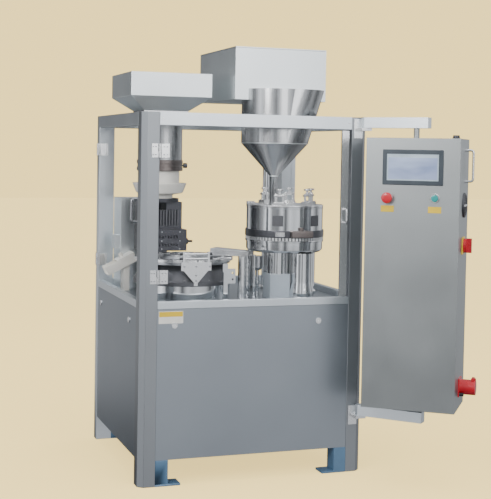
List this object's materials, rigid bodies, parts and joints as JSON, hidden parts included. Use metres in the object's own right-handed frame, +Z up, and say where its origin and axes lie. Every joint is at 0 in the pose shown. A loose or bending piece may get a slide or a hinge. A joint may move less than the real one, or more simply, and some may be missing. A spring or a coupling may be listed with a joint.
{
  "type": "capsule filling machine",
  "caption": "Floor-standing automatic capsule filler: guarded steel cabinet, capsule and powder hoppers, turret, dosing bowl and a control box on swing arms.",
  "frame": {"origin": "on the floor, at the centre of the four anchor holes in the foot plates", "axes": "+Z up, the front door faces -Y, the control box hangs at the +X side of the front"},
  "size_m": [1.5385, 1.4659, 2.029],
  "materials": {
    "frame_steel": "satin brushed",
    "panel_steel": "fine brushed sheet",
    "leg_blue": "protective blue film",
    "hinge_bright": "bright cast",
    "clear_acrylic": "clear sheet",
    "hopper_steel": "satin brushed",
    "polished_steel": "polished",
    "collar_bronze": "satin dark",
    "white_plastic": "smooth",
    "dark_block": "satin dark",
    "machined_grey": "machined",
    "black_plastic": "moulded",
    "drive_iron": "painted casting",
    "box_steel": "brushed sheet",
    "screen_black": "moulded bezel",
    "signal_red": "moulded",
    "signal_green": "moulded"
  },
  "bodies": {
    "root": {"corner_posts": "frame_steel", "frame_rails": "frame_steel", "base_legs": "leg_blue", "worktop": "panel_steel", "front_panel": "panel_steel", "left_panel": "panel_steel", "right_panel": "panel_steel", "rear_panel": "panel_steel", "cabinet_floor": "panel_steel", "hinge_brackets": "hinge_bright", "fixed_panes": "clear_acrylic", "capsule_hopper": "hopper_steel", "capsule_neck": "polished_steel", "capsule_collar": "collar_bronze", "capsule_cup": "white_plastic", "feed_column": "dark_block", "sorting_block": "dark_block", "separator_housing": "panel_steel", "discharge_chute": "white_plastic", "turret_drum": "polished_steel", "station_bracket": "machined_grey", "closing_station": "polished_steel", "ejector_group": "polished_steel", "dosing_pedestals": "polished_steel", "dosing_base": "polished_steel", "powder_bowl": "polished_steel", "powder_hopper": "hopper_steel", "hopper_box": "hopper_steel", "hopper_column": "hopper_steel", "drive_housings": "drive_iron", "gear_motor": "drive_iron", "vacuum_pump": "drive_iron"},
    "front_door": {"front_door_pane": "clear_acrylic", "front_door_fittings": "hinge_bright", "front_door_handle": "black_plastic"},
    "left_door": {"left_door_pane": "clear_acrylic", "left_door_fittings": "hinge_bright", "left_door_handle": "black_plastic"},
    "turret": {"turret_disc": "polished_steel", "capsule_segments": "machined_grey"},
    "dosing": {"dosing_disc": "machined_grey"},
    "cams": {"camshaft": "polished_steel"},
    "tamping": {"tamping_head": "polished_steel", "tamping_clamps": "polished_steel"},
    "magazine": {"magazine_block": "dark_block"},
    "clamp_knob": {"magazine_knob": "black_plastic"},
    "lid": {"hopper_lid": "hopper_steel"},
    "lock_fl": {"lock_front_left": "hinge_bright"},
    "lock_fr": {"lock_front_right": "hinge_bright"},
    "lock_lf": {"lock_left_front": "hinge_bright"},
    "lock_lr": {"lock_left_rear": "hinge_bright"},
    "arms": {"swing_arms": "frame_steel"},
    "control": {"control_box": "box_steel", "touch_screen": "screen_black", "power_socket": "signal_red", "box_fittings": "black_plastic"},
    "stop": {"stop_button": "signal_red"},
    "start": {"start_button": "signal_green"},
    "switch": {"switch_knob": "signal_red"},
    "flap": {"socket_flap": "signal_red"}
  },
  "joints": [
    {"name": "front_door_hinge", "type": "hinge", "parent": "root", "child": "front_door", "pos_m": [-0.47, -0.508, 1.2], "axis": [0, 0, -1], "range_deg": [0, 100]},
    {"name": "left_door_hinge", "type": "hinge", "parent": "root", "child": "left_door", "pos_m": [-0.558, 0.42, 1.2], "axis": [0, 0, -1], "range_deg": [0, 100]},
    {"name": "turret_spin", "type": "hinge", "parent": "root", "child": "turret", "pos_m": [-0.25, -0.15, 0.99], "axis": [0, 0, 1], "continuous": true},
    {"name": "dosing_spin", "type": "hinge", "parent": "root", "child": "dosing", "pos_m": [0.27, -0.15, 1.1], "axis": [0, 0, 1], "continuous": true},
    {"name": "camshaft_spin", "type": "hinge", "parent": "root", "child": "cams", "pos_m": [0, 0.12, 0.56], "axis": [1, 0, 0], "continuous": true},
    {"name": "tamping_lift", "type": "slide", "parent": "root", "child": "tamping", "axis": [0, 0, 1], "range_m": [0, 0.018]},
    {"name": "magazine_lift", "type": "slide", "parent": "root", "child": "magazine", "axis": [0, 0, 1], "range_m": [0, 0.01]},
    {"name": "clamp_knob_turn", "type": "hinge", "parent": "root", "child": "clamp_knob", "pos_m": [-0.19, 0.05, 1.073], "axis": [1, 0, 0], "range_deg": [-180, 180]},
    {"name": "hopper_lid_hinge", "type": "hinge", "parent": "root", "child": "lid", "pos_m": [0.185, 0.296, 2.023], "axis": [-1, 0, 0], "range_deg": [0, 100]},
    {"name": "lock_fl_turn", "type": "hinge", "parent": "root", "child": "lock_fl", "pos_m": [-0.388, -0.497, 0.735], "axis": [0, 1, 0], "range_deg": [0, 90]},
    {"name": "lock_fr_turn", "type": "hinge", "parent": "root", "child": "lock_fr", "pos_m": [0.317, -0.497, 0.735], "axis": [0, 1, 0], "range_deg": [0, 90]},
    {"name": "lock_lf_turn", "type": "hinge", "parent": "root", "child": "lock_lf", "pos_m": [-0.547, -0.276, 0.735], "axis": [1, 0, 0], "range_deg": [0, 90]},
    {"name": "lock_lr_turn", "type": "hinge", "parent": "root", "child": "lock_lr", "pos_m": [-0.547, 0.34, 0.735], "axis": [1, 0, 0], "range_deg": [0, 90]},
    {"name": "arm_swing", "type": "hinge", "parent": "root", "child": "arms", "pos_m": [0.53, -0.53, 1], "axis": [0, 0, 1], "range_deg": [0, 20]},
    {"name": "box_swivel", "type": "hinge", "parent": "arms", "child": "control", "pos_m": [0.702, -0.711, 1], "axis": [0, 0, 1], "range_deg": [-45, 90]},
    {"name": "stop_press", "type": "slide", "parent": "control", "child": "stop", "axis": [0.6046, 0.7965, 0], "range_m": [0, 0.005]},
    {"name": "start_press", "type": "slide", "parent": "control", "child": "start", "axis": [0.6046, 0.7965, 0], "range_m": [0, 0.003], "stiffness_N_per_m": 600},
    {"name": "switch_turn", "type": "hinge", "parent": "control", "child": "switch", "pos_m": [0.89635, -0.85852, 1.115], "axis": [0.7965, -0.6046, 0], "range_deg": [0, 90]},
    {"name": "flap_hinge", "type": "hinge", "parent": "control", "child": "flap", "pos_m": [0.9306, -0.88452, 0.503], "axis": [-0.6046, -0.7965, 0], "range_deg": [0, 110]}
  ],
  "couplings": [
    {"joint": "dosing_spin", "follows": "turret_spin", "ratio": -2},
    {"joint": "camshaft_spin", "follows": "turret_spin", "ratio": 12}
  ]
}
